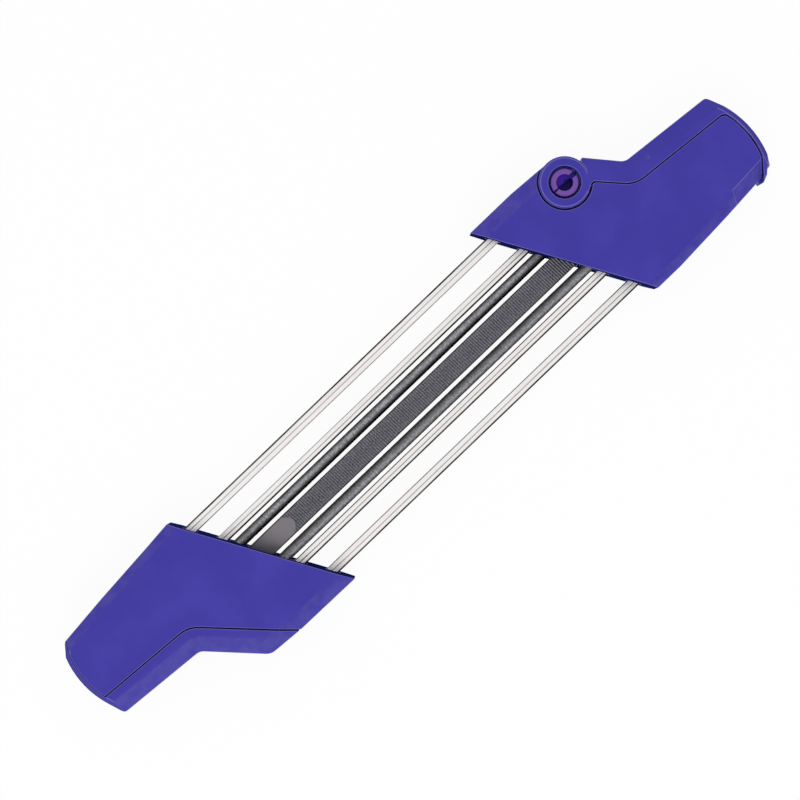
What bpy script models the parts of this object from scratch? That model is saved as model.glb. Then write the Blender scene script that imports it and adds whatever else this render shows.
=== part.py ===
"""Manual chainsaw sharpener: two moulded handles on four steel bars, two round files and one flat file.

Run with: blender --background --python part.py
Metres, +X along the rails towards the handle with the hinged cover, +Z up, lying on its broad side.
Each handle is drawn in its own frame: x away from the rails, from the point where the slanted face
crosses the centre line, y across the tool, z = 0 at mid-thickness.
"""
import math

import bmesh
import bpy
from mathutils import Matrix, Vector

MM = 0.001

# Overall sizes
FILE_LENGTH = 200.0 * MM
FILE_SEATED = 12.75 * MM
HANDLE_THICKNESS = 20.0 * MM
HANDLE_HALF_WIDTH = 35.2 * MM
FILING_ANGLE = math.radians(30.0)
HALF_THICKNESS = HANDLE_THICKNESS / 2
EXPOSED_LENGTH = FILE_LENGTH - 2 * FILE_SEATED

# Clearances
PART_GAP = 0.3 * MM
SEAM_GAP = 0.5 * MM
OVERRUN = 5.0 * MM
WELD = 0.002 * MM

# Files and bars: centre lines across the tool, sections and heights
ROUND_FILE_DIAMETER = 4.8 * MM
ROUND_FILE_Y = 8.6 * MM
FLAT_FILE_WIDTH = 9.4 * MM
FLAT_FILE_DROP = 0.65 * MM
FILE_ABOVE_PLATE_SHARE = 0.2
GUIDE_PLANE = 3.4 * MM
GUIDE_BAR_WIDTH = 4.2 * MM
GUIDE_BAR_DEPTH = 3.2 * MM
GUIDE_BAR_Y = 14.6 * MM
GUIDE_BAR_SEAT = 18.0 * MM
RAIL_WIDTH = 4.6 * MM
RAIL_DEPTH = 3.0 * MM
RAIL_Y = 26.7 * MM
RAIL_INNER_Z = 1.1 * MM
RAIL_SEAT = 22.0 * MM
BAR_EDGE = 0.35 * MM
LINE_WIDTH = 0.5 * MM
LINE_DEPTH = 0.2 * MM

# Handle moulding, shared by both handles
WALL = 2.4 * MM
CHAMFER_DEPTH = 3.0 * MM
TOP_CHAMFER = 6.5 * MM
END_CHAMFER = 2.3 * MM
BOTTOM_CHAMFER = 4.0 * MM
TOP_FLAT_END_X = 3.0 * MM
END_ARC_X = 52.0 * MM
SOCKET_DEPTH = 2.5 * MM
BAY_FRONT_X = FILE_SEATED - SOCKET_DEPTH
BAY_HALF_HEIGHT = 12.5 * MM
SEAM_BEND_FILLET = 12.0 * MM
SEAM_CORNER_FILLET = 3.0 * MM

# Release handle: hinge
PIVOT_X = 22.3 * MM
PIVOT_DROP = 12.0 * MM
PIVOT_Y = HANDLE_HALF_WIDTH - PIVOT_DROP
EAR_RADIUS = 10.9 * MM
EAR_THICKNESS = 5.1 * MM
EAR_RIM = 0.8 * MM
RECESS_GAP = 0.75 * MM
SWEEP_GAP = 1.0 * MM
KNUCKLE_RADIUS = 10.2 * MM
PIN_RADIUS = 5.9 * MM
PIN_BORE_RADIUS = 3.5 * MM
PIN_RECESS = 1.2 * MM
PIN_WAIST = 5.3 * MM
PIN_WEB = 2.0 * MM
PIN_STEP_DEPTH = 2.0 * MM
PIN_WIDE_SLOT = 2.0 * MM
PIN_NARROW_SLOT = 0.7 * MM
PIN_SLOT_DEPTH = 3.0 * MM
COUNTERBORE_RADIUS = 6.9 * MM
COUNTERBORE_DEPTH = 4.1 * MM
BLOCK_STOP_ANGLE = math.radians(87.0)
RECESS_END_ANGLE = math.radians(-47.0)
KNUCKLE_WEB_START_ANGLE = math.radians(-54.0)
KNUCKLE_WEB_END_ANGLE = math.radians(-135.0)
SCOOP_START_ANGLE = math.radians(100.0)
SCOOP_END_ANGLE = math.radians(168.0)
SCOOP_REACH = 1.3 * MM
SCOOP_DEPTH = 1.5 * MM
SCOOP_STEPS = 8

# Release handle: outline of the cover and seam with the body
SHOULDER_X = 34.8 * MM
SHOULDER_RISE = 2.6 * MM
SHOULDER_Y = PIVOT_Y + SHOULDER_RISE
NECK_BEND_X = 46.6 * MM
NECK_BEND_Y = 12.2 * MM
NECK_BEND_FILLET = 5.0 * MM
GRIP_END_X = 88.9 * MM
GRIP_END_Y = 8.2 * MM
GRIP_END_FILLET = 2.2 * MM
RELEASE_ARC_Y = -12.0 * MM
RELEASE_ARC_RADIUS = 42.0 * MM
BAND_THICKNESS = 3.3 * MM
CATCH_START_ANGLE = math.radians(-20.0)
ARC_END_ANGLE = math.radians(-20.0)
HOOK_X = 88.8 * MM
HOOK_Y = -30.7 * MM
HOOK_NOTCH = 1.7 * MM
HOOK_RISE = 1.3 * MM
HOOK_STEP = 1.3 * MM
HOOK_EDGE = 0.6 * MM
BUMP_X = 30.6 * MM
BUMP_DROP = 7.9 * MM
BUMP_FILLET = 2.2 * MM
BUMP_START_ANGLE = math.radians(-70.0)
BUMP_Y = PIVOT_Y - BUMP_DROP
SEAM_BEND_X = 42.7 * MM
SEAM_BEND_Y = 2.1 * MM
SEAM_END_X = 90.4 * MM
SEAM_END_Y = -2.1 * MM
BOTTOM_KNEE_X = 33.0 * MM
BOTTOM_MID_X = 61.7 * MM
BOTTOM_MID_RISE = 1.6 * MM
BOTTOM_END_X = 80.0 * MM
BOTTOM_END_RISE = 3.0 * MM

# Release handle: inside
COVER_BACK = 2.6 * MM
BAY_FLOOR_Y = -12.0 * MM
CHANNEL_START_X = 41.0 * MM
CHANNEL_FLOOR = 2.8 * MM
WEB_X = 85.0 * MM
WEB_THICKNESS = 2.5 * MM
WEB_DROP = 4.2 * MM
LEDGE_DEPTH = 1.7 * MM
LEDGE_WIDTH = 0.9 * MM
THUMB_X = 70.2 * MM
THUMB_Y = -27.3 * MM
THUMB_RISE = 1.9 * MM
THUMB_LOW_X = 67.9 * MM
THUMB_LOW_Y = -32.4 * MM
THUMB_DEPTH = 0.6 * MM
THUMB_LOW_DEPTH = 3.0 * MM
INNER_RIB_Z = 4.4 * MM
INNER_RIB_THICKNESS = 1.2 * MM
INNER_RIB_DROP = 3.2 * MM
INNER_RIB_START_X = 45.0 * MM
EJECTOR_X = 54.2 * MM
EJECTOR_Y = 6.7 * MM
EJECTOR_RADIUS = 0.45 * MM
EJECTOR_DEPTH = 1.5 * MM

# Clamp that the cover presses against the file ends
CLAMP_TRAVEL = 3.5 * MM
CLAMP_REAR_X = 25.7 * MM
CLAMP_SHELF_Y = -5.6 * MM
CLAMP_STEP_X = 38.0 * MM
CLAMP_FOOT_X = 60.0 * MM
CLAMP_FOOT_DEPTH = 2.0 * MM
RIB = 1.3 * MM
POCKET_DEPTH = 8.0 * MM
LEG_INNER_Z = 3.0 * MM
LEG_THICKNESS = 2.0 * MM
LEG_REACH = 22.0 * MM

# Fixed handle
FIXED_ARC_Y = -10.5 * MM
FIXED_ARC_RADIUS = 39.4 * MM
FIXED_NOSE_X = 26.4 * MM
FIXED_NOSE_Y = 33.8 * MM
FIXED_NOSE_FILLET = 6.0 * MM
FIXED_BAND = 2.5 * MM
FIXED_BEND_X = 47.0 * MM
FIXED_BEND_Y = 12.4 * MM
FIXED_GRIP_END_X = 87.0 * MM
FIXED_GRIP_END_Y = 9.3 * MM
FIXED_BAND_END_ANGLE = math.radians(-36.0)
FIXED_SEAM_TOP_X = 10.0 * MM
FIXED_SEAM_BEND_X = 43.0 * MM
FIXED_SEAM_BEND_Y = 1.5 * MM
FIXED_SEAM_END_Y = -1.4 * MM
FIXED_RIB_POCKET = 5.0 * MM
FIXED_SEAT_X = 20.0 * MM
BOTTOM_MID_DROP = 2.4 * MM
BOTTOM_KNEE_RISE = 1.2 * MM

ROUND_STEPS = 40
SMOOTH_TURN = math.sin(math.radians(12.0))
FILLET_STEPS = 5

RELEASE_REACH = END_ARC_X + RELEASE_ARC_RADIUS
FIXED_REACH = END_ARC_X + FIXED_ARC_RADIUS
ROW_SHIFT = (RELEASE_REACH - FIXED_REACH) / 2
ROUND_FILE_Z = GUIDE_PLANE + (0.5 - FILE_ABOVE_PLATE_SHARE) * ROUND_FILE_DIAMETER
FLAT_FILE_DEPTH = 2 * (GUIDE_PLANE + FLAT_FILE_DROP)
CAVITY_HALF = HALF_THICKNESS - WALL
EAR_INNER_Z = HALF_THICKNESS - EAR_THICKNESS
KNUCKLE_HALF = EAR_INNER_Z - PART_GAP
RECESS_RADIUS = EAR_RADIUS + RECESS_GAP
BORE_RADIUS = PIN_RADIUS + PART_GAP
WAIST_BORE_RADIUS = PIN_WAIST + PART_GAP
BAY_TOP = min(BAY_HALF_HEIGHT, PIVOT_Y - KNUCKLE_RADIUS - PART_GAP)
PIVOT = Vector((PIVOT_X, PIVOT_Y))


def slant_x(y):
    """The x of the slanted face, 60 degrees to the rails, at a height y in a handle's frame."""
    return -y * math.tan(FILING_ANGLE)


def on_circle(centre, radius, angle):
    return Vector((centre[0] + radius * math.cos(angle), centre[1] + radius * math.sin(angle)))


def arc(centre, radius, start, end, steps, chamfer=0.0):
    """Corners along an arc, without fillets, with one chamfer width."""
    corners = []
    for i in range(steps + 1):
        point = on_circle(centre, radius, start + (end - start) * i / steps)
        corners.append((point.x, point.y, 0.0, chamfer))
    return corners


def crossing(p, d, q, e):
    """Where the line p + t d meets the line q + s e."""
    t = (q - p).cross(e) / d.cross(e)
    return p + t * d


def offset_corners(corners):
    """The corners moved inwards by the chamfer of each edge; corners run clockwise."""
    moved = []
    count = len(corners)
    for i, (x, y, fillet, chamfer) in enumerate(corners):
        here = Vector((x, y))
        before = Vector(corners[i - 1][:2])
        after = Vector(corners[(i + 1) % count][:2])
        d0 = (here - before).normalized()
        d1 = (after - here).normalized()
        n0 = Vector((d0.y, -d0.x)) * corners[i - 1][3]
        n1 = Vector((d1.y, -d1.x)) * chamfer
        if abs(d0.cross(d1)) < SMOOTH_TURN:
            point = here + (n0 + n1) / 2
        else:
            point = crossing(here + n0, d0, here + n1, d1)
        inner = max(fillet - min(corners[i - 1][3], chamfer), 0.0) if d0.cross(d1) < 0 else fillet
        moved.append((point.x, point.y, inner, fillet))
    return moved


def trace(corners, rounded):
    """Points of an outline; each corner with a fillet in the rounded list gets the same number of steps."""
    points = []
    count = len(corners)
    for i, corner in enumerate(corners):
        here = Vector(corner[:2])
        if rounded[i] <= 0:
            points.append(here)
            continue
        before = Vector(corners[i - 1][:2]) - here
        after = Vector(corners[(i + 1) % count][:2]) - here
        turn = math.pi - before.angle(after)
        reach = corner[2] * math.tan(turn / 2)
        reach = min(reach, before.length / 2, after.length / 2)
        a = here + before.normalized() * reach
        b = here + after.normalized() * reach
        for k in range(FILLET_STEPS + 1):
            t = k / FILLET_STEPS
            points.append((1 - t) ** 2 * a + 2 * t * (1 - t) * here + t ** 2 * b)
    return points


def new_object(name, bm):
    bmesh.ops.remove_doubles(bm, verts=bm.verts, dist=WELD)
    bmesh.ops.recalc_face_normals(bm, faces=bm.faces)
    mesh = bpy.data.meshes.new(name)
    bm.to_mesh(mesh)
    bm.free()
    obj = bpy.data.objects.new(name, mesh)
    bpy.context.scene.collection.objects.link(obj)
    return obj


def stacked(name, rings):
    """A solid through rings of points with equal counts, closed by a face at each end."""
    bm = bmesh.new()
    levels = [[bm.verts.new((p.x, p.y, z)) for p in points] for points, z in rings]
    count = len(levels[0])
    for lower, upper in zip(levels, levels[1:]):
        for i in range(count):
            j = (i + 1) % count
            bm.faces.new((lower[i], lower[j], upper[j], upper[i]))
    bmesh.ops.remove_doubles(bm, verts=bm.verts, dist=WELD)
    bmesh.ops.dissolve_degenerate(bm, edges=bm.edges, dist=WELD)
    open_edges = [edge for edge in bm.edges if edge.is_boundary]
    bmesh.ops.holes_fill(bm, edges=open_edges, sides=0)
    return new_object(name, bm)


def slab(name, corners, half):
    """A moulded plate of the outline, with its own chamfer along each edge of both broad faces."""
    fillets = [corner[2] for corner in corners]
    outer = trace(corners, fillets)
    face = trace(offset_corners(corners), fillets)
    edge = half - CHAMFER_DEPTH
    return stacked(name, [(face, -half), (outer, -edge), (outer, edge), (face, half)])


def prism(name, corners, low, high):
    """A straight extrusion of an outline; corners are (x, y) or (x, y, fillet, chamfer)."""
    full = [tuple(c) if len(c) == 4 else (c[0], c[1], 0.0, 0.0) for c in corners]
    points = trace(full, [c[2] for c in full])
    return stacked(name, [(points, low), (points, high)])


def box(name, low, high):
    corners = [(low[0], low[1]), (low[0], high[1]), (high[0], high[1]), (high[0], low[1])]
    return prism(name, corners, low[2], high[2])


def turned(name, centre, profile, steps=ROUND_STEPS):
    """A round piece about a line along Z; the profile lists radius and height."""
    rings = []
    for radius, z in profile:
        points = [on_circle(centre, radius, -2 * math.pi * i / steps) for i in range(steps)]
        rings.append((points, z))
    return stacked(name, rings)


def combine(target, other, operation):
    """Cut, join or intersect with another solid, and remove that solid."""
    modifier = target.modifiers.new(operation, 'BOOLEAN')
    modifier.operation = operation
    modifier.solver = 'EXACT'
    modifier.object = other
    graph = bpy.context.evaluated_depsgraph_get()
    result = bpy.data.meshes.new_from_object(target.evaluated_get(graph))
    old = target.data
    target.modifiers.remove(modifier)
    target.data = result
    bpy.data.meshes.remove(old)
    bpy.data.meshes.remove(other.data)


def cut(target, *others):
    for other in others:
        combine(target, other, 'DIFFERENCE')


def join(target, *others):
    for other in others:
        combine(target, other, 'UNION')


def material(name, colour, roughness, metallic):
    made = bpy.data.materials.new(name)
    made.use_nodes = True
    shader = made.node_tree.nodes["Principled BSDF"]
    shader.inputs["Base Color"].default_value = (*colour, 1.0)
    shader.inputs["Roughness"].default_value = roughness
    shader.inputs["Metallic"].default_value = metallic
    return made


def finish(obj, name, parent, look, smooth_angle=math.radians(35.0)):
    """Name the piece, hang it on its frame and give it its material."""
    obj.name = name
    obj.data.name = name
    obj.parent = parent
    obj.data.materials.clear()
    obj.data.materials.append(material(name, *look))
    obj.data.shade_smooth()
    obj.data.set_sharp_from_angle(angle=smooth_angle)
    return obj


def frame_empty(name, location, turn=0.0, parent=None):
    empty = bpy.data.objects.new(name, None)
    empty.location = location
    empty.rotation_euler = (0.0, 0.0, turn)
    empty.parent = parent
    bpy.context.scene.collection.objects.link(empty)
    return empty


BLUE = ((0.058, 0.048, 0.36), 0.42, 0.0)
BLACK = ((0.012, 0.012, 0.013), 0.5, 0.0)
PIN_BLACK = ((0.03, 0.02, 0.05), 0.4, 0.0)
BRIGHT_STEEL = ((0.72, 0.70, 0.69), 0.28, 1.0)
FILE_STEEL = ((0.10, 0.10, 0.11), 0.45, 0.9)


def bar_places():
    """Each bar or file: name, y, z of its middle, section width, section depth, half length."""
    guide_z = GUIDE_PLANE - GUIDE_BAR_DEPTH / 2
    rail_z = RAIL_INNER_Z + RAIL_DEPTH / 2
    places = []
    for side, tag in ((1, "upper"), (-1, "lower")):
        places.append(("outer_rail_" + tag, side * RAIL_Y, side * rail_z, RAIL_WIDTH, RAIL_DEPTH, RAIL_SEAT))
        places.append(("guide_bar_" + tag, side * GUIDE_BAR_Y, -side * guide_z,
                       GUIDE_BAR_WIDTH, GUIDE_BAR_DEPTH, GUIDE_BAR_SEAT))
    return places


def bar_section(width, depth, line=()):
    """Section of a bar with broken corners; line holds the points of a groove in a broad face, if it has one."""
    w, d, e = width / 2, depth / 2, BAR_EDGE
    top = [(-w + e, d), *line, (w - e, d)]
    return [(-w, -d + e), (-w, d - e), *top, (w, d - e), (w, -d + e), *[(-x, -y) for x, y in top]]


def add_bars(root):
    """Four bright bars with a fine rolled line; each ends as deep in one slanted handle as in the other."""
    for name, y, z, width, depth, seat in bar_places():
        half = EXPOSED_LENGTH / 2 + seat
        shift = slant_x(y)
        line = [(-LINE_WIDTH / 2, depth / 2), (0.0, depth / 2 - LINE_DEPTH), (LINE_WIDTH / 2, depth / 2)]
        bar = prism(name, bar_section(width, depth, line), shift - half, shift + half)
        along_x(bar, y, z)
        finish(bar, name, root, BRIGHT_STEEL)


def along_x(obj, y, z):
    """Turn a piece made along Z so that it lies along X at a place across the tool."""
    obj.data.transform(Matrix(((0, 0, 1, 0), (1, 0, 0, y), (0, 1, 0, z), (0, 0, 0, 1))))


def add_files(root):
    half = FILE_LENGTH / 2
    radius = ROUND_FILE_DIAMETER / 2
    bevel = radius / 6
    for side, tag in ((1, "upper"), (-1, "lower")):
        name = "round_file_" + tag
        profile = [(radius - bevel, -half), (radius, -half + bevel), (radius, half - bevel), (radius - bevel, half)]
        spin = frame_empty(name + "_axis", (0.0, side * ROUND_FILE_Y, -side * ROUND_FILE_Z), parent=root)
        rod = turned(name, (0.0, 0.0), profile, 24)
        along_x(rod, 0.0, 0.0)
        finish(rod, name, spin, FILE_STEEL)
    flat = prism("flat_file", bar_section(FLAT_FILE_WIDTH, FLAT_FILE_DEPTH), -half, half)
    along_x(flat, 0.0, 0.0)
    finish(flat, "flat_file", root, FILE_STEEL)


def bar_sockets(side):
    """Cutters for the bars and files in a handle's own frame; side is 1 at the release end, -1 at the other."""
    cutters = []
    front = -HANDLE_HALF_WIDTH
    for name, y, z, width, depth, seat in bar_places():
        local_y = side * y
        end = slant_x(local_y) + seat + PART_GAP
        w = width / 2 + PART_GAP
        d = depth / 2 + PART_GAP
        cutters.append(box(name, (front, local_y - w, z - d), (end, local_y + w, z + d)))
    for sign in (1, -1):
        centre = (side * sign * ROUND_FILE_Y, -sign * ROUND_FILE_Z)
        radius = ROUND_FILE_DIAMETER / 2 + PART_GAP
        hole = turned("file hole", (0.0, 0.0), [(radius, front), (radius, BAY_FRONT_X + OVERRUN)], 24)
        along_x(hole, *centre)
        cutters.append(hole)
    w = FLAT_FILE_WIDTH / 2 + PART_GAP
    d = FLAT_FILE_DEPTH / 2 + PART_GAP
    cutters.append(box("flat hole", (front, -w, -d), (BAY_FRONT_X + OVERRUN, w, d)))
    return cutters


def file_end_sockets(front, depth, side):
    """Shallow seats for the three file ends in a black piece whose face is at x = front."""
    cutters = []
    end = front + depth + PART_GAP
    for sign in (1, -1):
        radius = ROUND_FILE_DIAMETER / 2 + PART_GAP
        seat = turned("seat", (0.0, 0.0), [(radius, front - OVERRUN), (radius, end)], 24)
        along_x(seat, side * sign * ROUND_FILE_Y, -sign * ROUND_FILE_Z)
        cutters.append(seat)
    w = FLAT_FILE_WIDTH / 2 + PART_GAP
    d = FLAT_FILE_DEPTH / 2 + PART_GAP
    cutters.append(box("flat seat", (front - OVERRUN, -w, -d), (end, w, d)))
    return cutters


def bottom_line(knee_chamfer):
    """The lower edge from the grip towards the slanted face, run past the end of the handle."""
    bottom = -HANDLE_HALF_WIDTH
    slope = (BOTTOM_END_RISE - BOTTOM_MID_RISE) / (BOTTOM_END_X - BOTTOM_MID_X)
    far_x = RELEASE_REACH + OVERRUN
    far_y = bottom + BOTTOM_MID_RISE + slope * (far_x - BOTTOM_MID_X)
    return [(far_x, far_y, 0.0, knee_chamfer), (BOTTOM_MID_X, bottom + BOTTOM_MID_RISE, 0.0, knee_chamfer),
            (BOTTOM_KNEE_X, bottom, 0.0, knee_chamfer), (slant_x(bottom), bottom, 0.0, 0.0)]


def catch_radius():
    """The hook swings past the body's corner on this circle round the pivot."""
    return (on_circle((END_ARC_X, RELEASE_ARC_Y), RELEASE_ARC_RADIUS - BAND_THICKNESS, CATCH_START_ANGLE) - PIVOT).length


def seam_path(gap):
    """The seam between body and cover from the hinge to the hook; gap moves it towards the cover."""
    band = RELEASE_ARC_RADIUS - BAND_THICKNESS + gap
    centre = (END_ARC_X, RELEASE_ARC_Y)
    seam_angle = math.asin((SEAM_END_Y - RELEASE_ARC_Y) / band)
    start = on_circle(centre, band, CATCH_START_ANGLE) - PIVOT
    radius = catch_radius() + gap
    low = -HANDLE_HALF_WIDTH + HOOK_RISE
    last = -math.asin((PIVOT_Y - low) / radius)
    first = math.atan2(start.y, start.x)
    beside_ear = on_circle(PIVOT, RECESS_RADIUS - 2 * gap, BUMP_START_ANGLE)
    path = [(beside_ear.x, beside_ear.y, 0.0, 0.0), (BUMP_X + gap / 2, BUMP_Y + gap, BUMP_FILLET, 0.0),
            (SEAM_BEND_X + gap / 2, SEAM_BEND_Y + gap, SEAM_BEND_FILLET, 0.0)]
    path += [(END_ARC_X + band * math.cos(seam_angle), SEAM_END_Y + gap, SEAM_CORNER_FILLET, 0.0)]
    path += arc(centre, band, seam_angle / 2, CATCH_START_ANGLE, 8)
    path += arc(PIVOT, radius, first, last, 6)[1:]
    return path


def channel_floor(x):
    """Top of the channel's floor in the grip, a wall above the bottom edge."""
    bottom = -HANDLE_HALF_WIDTH + BOTTOM_MID_RISE
    slope = (BOTTOM_END_RISE - BOTTOM_MID_RISE) / (BOTTOM_END_X - BOTTOM_MID_X)
    return bottom + slope * (x - BOTTOM_MID_X) + CHANNEL_FLOOR


def scoop_sector(reach):
    """Outline of the hollow beside the ear; it widens towards the body's top edge."""
    turn = SCOOP_START_ANGLE - SCOOP_END_ANGLE
    inner = [Vector(corner[:2]) for corner in
             arc(PIVOT, RECESS_RADIUS - OVERRUN, SCOOP_START_ANGLE, SCOOP_END_ANGLE, SCOOP_STEPS)]
    outer = []
    for i in range(SCOOP_STEPS + 1):
        share = i / SCOOP_STEPS
        outer.append(on_circle(PIVOT, RECESS_RADIUS - PART_GAP + reach * share, SCOOP_END_ANGLE + turn * share))
    return inner + outer


def thumb_recess(sign):
    """The sloping thumb hollow in one broad face, open to the bottom edge and to the end."""
    far_x = RELEASE_REACH + OVERRUN
    low = -HANDLE_HALF_WIDTH - OVERRUN
    rake = (THUMB_X - THUMB_LOW_X) / (THUMB_Y - THUMB_LOW_Y)
    low_x = THUMB_X - rake * (THUMB_Y - low)
    floor = [(low_x, low), (THUMB_LOW_X, THUMB_LOW_Y), (far_x, THUMB_LOW_Y), (far_x, low)]
    rim = [(low_x, low), (THUMB_X, THUMB_Y), (far_x, THUMB_Y + THUMB_RISE), (far_x, low)]
    levels = [(floor, sign * (HALF_THICKNESS - THUMB_LOW_DEPTH)), (rim, sign * (HALF_THICKNESS - THUMB_DEPTH)),
              (rim, sign * (HALF_THICKNESS + OVERRUN))]
    rings = [([Vector(corner) for corner in corners], z) for corners, z in levels]
    return stacked("thumb recess", rings[::sign])


def release_body(parent):
    """The moulded half with the hinge knuckle, the clamp's bay and the open grip channel."""
    half = HALF_THICKNESS
    far_x = RELEASE_REACH + OVERRUN
    top = HANDLE_HALF_WIDTH
    knee_y = PIVOT_Y + EAR_RADIUS
    corners = [(slant_x(top), top, 0.0, TOP_CHAMFER), (TOP_FLAT_END_X, top, 0.0, TOP_CHAMFER),
               (PIVOT_X, knee_y, 0.0, 0.0), (PIVOT_X, PIVOT_Y, 0.0, 0.0), (far_x, PIVOT_Y, 0.0, 0.0)]
    corners += bottom_line(BOTTOM_CHAMFER)
    body = slab("release_handle_body", corners, half)

    over = half + OVERRUN
    path = seam_path(0.0)
    low = -HANDLE_HALF_WIDTH - OVERRUN
    zone = [(PIVOT_X, top + OVERRUN), (PIVOT_X, knee_y - EAR_RIM)] + path
    zone += [(path[-1][0] - PART_GAP, low), (far_x + OVERRUN, low), (far_x + OVERRUN, top + OVERRUN)]
    cut(body, prism("cover zone", zone, -over, over))

    sweep = (Vector((SHOULDER_X, SHOULDER_Y)) - PIVOT).length + SWEEP_GAP
    inner = KNUCKLE_RADIUS - OVERRUN
    sector = arc(PIVOT, sweep, BLOCK_STOP_ANGLE, -RECESS_END_ANGLE / 2, 10)
    sector += arc(PIVOT, RECESS_RADIUS + PART_GAP, 0.0, RECESS_END_ANGLE, 6)
    sector += arc(PIVOT, inner, RECESS_END_ANGLE, BLOCK_STOP_ANGLE, 12)
    cut(body, prism("shoulder sweep", sector, -over, over))
    for sign in (1, -1):
        ends = sorted((sign * KNUCKLE_HALF, sign * over))
        cut(body, turned("ear recess", PIVOT, [(RECESS_RADIUS, ends[0]), (RECESS_RADIUS, ends[1])]))
        cut(body, thumb_recess(sign))
        rings = [(scoop_sector(0.0), sign * (half - SCOOP_DEPTH)),
                 (scoop_sector(SCOOP_REACH), sign * (half + PART_GAP))]
        cut(body, stacked("scoop", rings[::sign]))
    join(body, turned("knuckle", PIVOT, [(KNUCKLE_RADIUS, -KNUCKLE_HALF), (KNUCKLE_RADIUS, KNUCKLE_HALF)]))
    cut(body, turned("pin bore", PIVOT, [(WAIST_BORE_RADIUS, -over), (WAIST_BORE_RADIUS, over)]))

    inner_turn = on_circle(PIVOT, RECESS_RADIUS + PART_GAP, RECESS_END_ANGLE)
    bay = [(BAY_FRONT_X, BAY_FLOOR_Y), (BAY_FRONT_X, BAY_TOP), (PIVOT_X + PIN_RADIUS, BAY_TOP),
           (inner_turn.x, inner_turn.y), (BUMP_X, top), (CHANNEL_START_X + OVERRUN, top),
           (CHANNEL_START_X + OVERRUN, BAY_FLOOR_Y)]
    cut(body, prism("bay", bay, -CAVITY_HALF, CAVITY_HALF))
    web_top = SEAM_END_Y - WEB_DROP
    web_low = channel_floor(WEB_X) + WALL
    channel = [(CHANNEL_START_X, channel_floor(CHANNEL_START_X), WALL, 0.0), (CHANNEL_START_X, BAY_FLOOR_Y),
               (CHANNEL_START_X, top), (far_x, top), (far_x, web_top), (WEB_X, web_top),
               (WEB_X, web_low + 2 * WALL, WALL, 0.0), (WEB_X - 2 * WALL, channel_floor(WEB_X), WALL, 0.0)]
    cut(body, prism("grip channel", channel, -CAVITY_HALF, CAVITY_HALF))
    outer_x = WEB_X + WEB_THICKNESS
    recess = [(outer_x, web_top - OVERRUN), (outer_x, top), (far_x, top), (far_x, low),
              (WEB_X - 2 * WALL + WEB_THICKNESS * 2, low), (outer_x, web_low + WALL, WALL, 0.0)]
    cut(body, prism("end recess", recess, -CAVITY_HALF, CAVITY_HALF))
    seam_slope = (SEAM_END_Y - SEAM_BEND_Y) / (SEAM_END_X - SEAM_BEND_X)
    ledge_start = SEAM_BEND_X + SEAM_BEND_FILLET / 2
    ledge = [(ledge_start, SEAM_BEND_Y + seam_slope * (ledge_start - SEAM_BEND_X) - LEDGE_DEPTH),
             (ledge_start, top), (far_x, top),
             (far_x, SEAM_BEND_Y + seam_slope * (far_x - SEAM_BEND_X) - LEDGE_DEPTH)]
    cut(body, prism("ledge", ledge, -CAVITY_HALF - LEDGE_WIDTH, CAVITY_HALF + LEDGE_WIDTH))
    web = arc(PIVOT, RECESS_RADIUS + PART_GAP, KNUCKLE_WEB_START_ANGLE, KNUCKLE_WEB_END_ANGLE, 8)
    web += arc(PIVOT, KNUCKLE_RADIUS - PART_GAP, KNUCKLE_WEB_END_ANGLE, KNUCKLE_WEB_START_ANGLE, 8)
    join(body, prism("knuckle web", web, -KNUCKLE_HALF, KNUCKLE_HALF))
    cut(body, *bar_sockets(1))
    return finish(body, "release_handle_body", parent, BLUE)


def cover_corners():
    """Outline of the hinged cover, clockwise from the inside of its ear."""
    inside, outside, inward = neck_lines()
    root = outside + inward * (TOP_CHAMFER + HOOK_EDGE)
    centre = (END_ARC_X, RELEASE_ARC_Y)
    radius = RELEASE_ARC_RADIUS
    corners = [(root.x, root.y, 0.0, 0.0), (SHOULDER_X, SHOULDER_Y, 0.0, TOP_CHAMFER),
               (NECK_BEND_X, NECK_BEND_Y, NECK_BEND_FILLET, TOP_CHAMFER),
               (GRIP_END_X, GRIP_END_Y, GRIP_END_FILLET, END_CHAMFER)]
    first = math.asin((GRIP_END_Y - TOP_CHAMFER - END_CHAMFER / 2 - RELEASE_ARC_Y) / radius)
    path = seam_path(SEAM_GAP)
    tip = Vector(path[-1][:2])
    corners += arc(centre, radius, first, 0.0, 4, END_CHAMFER)
    corners += arc(centre, radius, 0.0, ARC_END_ANGLE, 4, END_CHAMFER)[1:-1]
    end = on_circle(centre, radius, ARC_END_ANGLE)
    corners += [(end.x, end.y, 0.0, 2 * HOOK_EDGE), (HOOK_X, HOOK_Y, 0.0, HOOK_EDGE),
                (HOOK_X - HOOK_NOTCH, HOOK_Y - PART_GAP, 0.0, HOOK_EDGE),
                (HOOK_X - 2 * HOOK_NOTCH, tip.y + HOOK_STEP, 0.0, HOOK_EDGE),
                (tip.x + HOOK_EDGE, tip.y, 0.0, HOOK_EDGE)]
    corners += [(x, y, f, 0.0) for x, y, f, c in reversed(path)]
    corners += [(inside.x, inside.y, 0.0, 0.0)]
    return corners


def neck_lines():
    """A point inside the ear, the shoulder at the neck's outer edge, and the direction into the neck."""
    outside = Vector((SHOULDER_X, SHOULDER_Y))
    along = (Vector((NECK_BEND_X, NECK_BEND_Y)) - outside).normalized()
    inside = on_circle(PIVOT, KNUCKLE_RADIUS - OVERRUN / 2, RECESS_END_ANGLE)
    return inside, outside, Vector((along.y, -along.x))


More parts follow.
